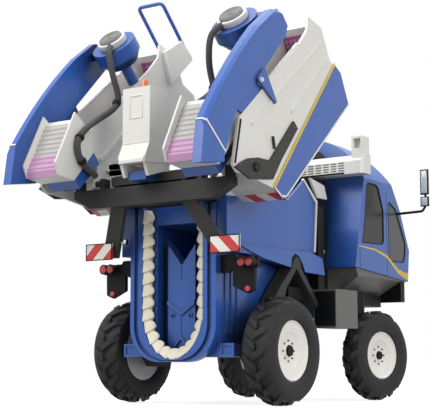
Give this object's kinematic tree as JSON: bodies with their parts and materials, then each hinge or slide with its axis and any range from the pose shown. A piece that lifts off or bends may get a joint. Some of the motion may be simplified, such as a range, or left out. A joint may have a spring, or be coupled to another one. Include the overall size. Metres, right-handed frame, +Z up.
{
  "type": "scale model of a straddle grape harvester",
  "caption": "Scale model of a self-propelled straddle grape harvester with a picking tunnel, tipping hoppers, leaf ducts, cab and lugged wheels.",
  "frame": {"origin": "middle of the footprint's bounding box, on the ground", "axes": "+X to the right, +Y forward, +Z up"},
  "size_m": [0.1002, 0.1848, 0.1706],
  "materials": {
    "blue_paint": "satin paint",
    "white_paint": "satin paint",
    "cream_plastic": "moulded",
    "dark_frame": "moulded",
    "grey_plastic": "moulded",
    "tyre": "moulded rubber",
    "hose_rubber": "moulded rubber",
    "dark_glass": "tinted clear plastic",
    "purple_liner": "moulded",
    "pink_belt": "moulded",
    "red_lens": "clear red plastic",
    "orange_lens": "clear plastic",
    "marker_board": "red and white stripes"
  },
  "bodies": {
    "chassis": {"chassis_frame": "dark_frame", "rear_legs": "dark_frame", "head_shell": "blue_paint", "head_panel": "blue_paint", "noria_left": "cream_plastic", "noria_right": "cream_plastic", "side_cover_left": "blue_paint", "side_cover_right": "blue_paint", "rear_beam": "dark_frame", "marker_boards": "marker_board", "lamp_plates": "dark_frame", "tail_lamps": "red_lens", "centre_hood": "white_paint", "beacon": "orange_lens", "cab_shell": "blue_paint", "cab_glass": "dark_glass", "cab_tray": "grey_plastic", "mirrors": "dark_frame", "air_intake": "white_paint", "rear_deck": "dark_frame", "side_boxes": "grey_plastic", "hood_block": "blue_paint", "front_steps": "dark_frame", "cover_trim_left": "white_paint", "cover_trim_right": "white_paint"},
    "wheel_rear_left": {"tyre_rear_left": "tyre", "rim_rear_left": "cream_plastic"},
    "knuckle_left": {"knuckle_left": "dark_frame"},
    "wheel_front_left": {"tyre_front_left": "tyre", "rim_front_left": "cream_plastic"},
    "hopper_left": {"hopper_shell_left": "white_paint", "hopper_liner_left": "purple_liner", "pivot_bracket_left": "dark_frame", "duct_left": "blue_paint", "fan_ring_left": "white_paint", "fan_screen_left": "grey_plastic", "spout_left": "white_paint", "spout_belt_left": "pink_belt", "hopper_band_left": "blue_paint", "spout_housing_left": "blue_paint", "hose_left": "hose_rubber", "guard_rail_left": "blue_paint"},
    "wheel_rear_right": {"tyre_rear_right": "tyre", "rim_rear_right": "cream_plastic"},
    "knuckle_right": {"knuckle_right": "dark_frame"},
    "wheel_front_right": {"tyre_front_right": "tyre", "rim_front_right": "cream_plastic"},
    "hopper_right": {"hopper_shell_right": "white_paint", "hopper_liner_right": "purple_liner", "pivot_bracket_right": "dark_frame", "duct_right": "blue_paint", "fan_ring_right": "white_paint", "fan_screen_right": "grey_plastic", "spout_right": "white_paint", "spout_belt_right": "pink_belt", "hopper_band_right": "blue_paint", "spout_housing_right": "blue_paint", "hose_right": "hose_rubber"}
  },
  "joints": [
    {"name": "rear_left_spin", "type": "hinge", "parent": "chassis", "child": "wheel_rear_left", "pos_m": [-0.036, -0.02473, 0.02076], "axis": [1, 0, 0], "continuous": true},
    {"name": "steer_left", "type": "hinge", "parent": "chassis", "child": "knuckle_left", "pos_m": [-0.0247, 0.05817, 0.0194], "axis": [0, 0, 1], "range_deg": [-13.7, 36.3]},
    {"name": "front_left_spin", "type": "hinge", "parent": "knuckle_left", "child": "wheel_front_left", "pos_m": [-0.03406, 0.06005, 0.0194], "axis": [0.9806, -0.1959, 0], "continuous": true},
    {"name": "hopper_left_tip", "type": "hinge", "parent": "chassis", "child": "hopper_left", "pos_m": [-0.036, -0.05942, 0.086], "axis": [1, 0, 0], "range_deg": [-45, 0]},
    {"name": "rear_right_spin", "type": "hinge", "parent": "chassis", "child": "wheel_rear_right", "pos_m": [0.036, -0.02473, 0.02076], "axis": [1, 0, 0], "continuous": true},
    {"name": "steer_right", "type": "hinge", "parent": "chassis", "child": "knuckle_right", "pos_m": [0.0247, 0.05817, 0.0194], "axis": [0, 0, 1], "range_deg": [-13.7, 36.3]},
    {"name": "front_right_spin", "type": "hinge", "parent": "knuckle_right", "child": "wheel_front_right", "pos_m": [0.03406, 0.0563, 0.0194], "axis": [0.9806, -0.1959, 0], "continuous": true},
    {"name": "hopper_right_tip", "type": "hinge", "parent": "chassis", "child": "hopper_right", "pos_m": [0.036, -0.05942, 0.086], "axis": [1, 0, 0], "range_deg": [-45, 0]}
  ]
}
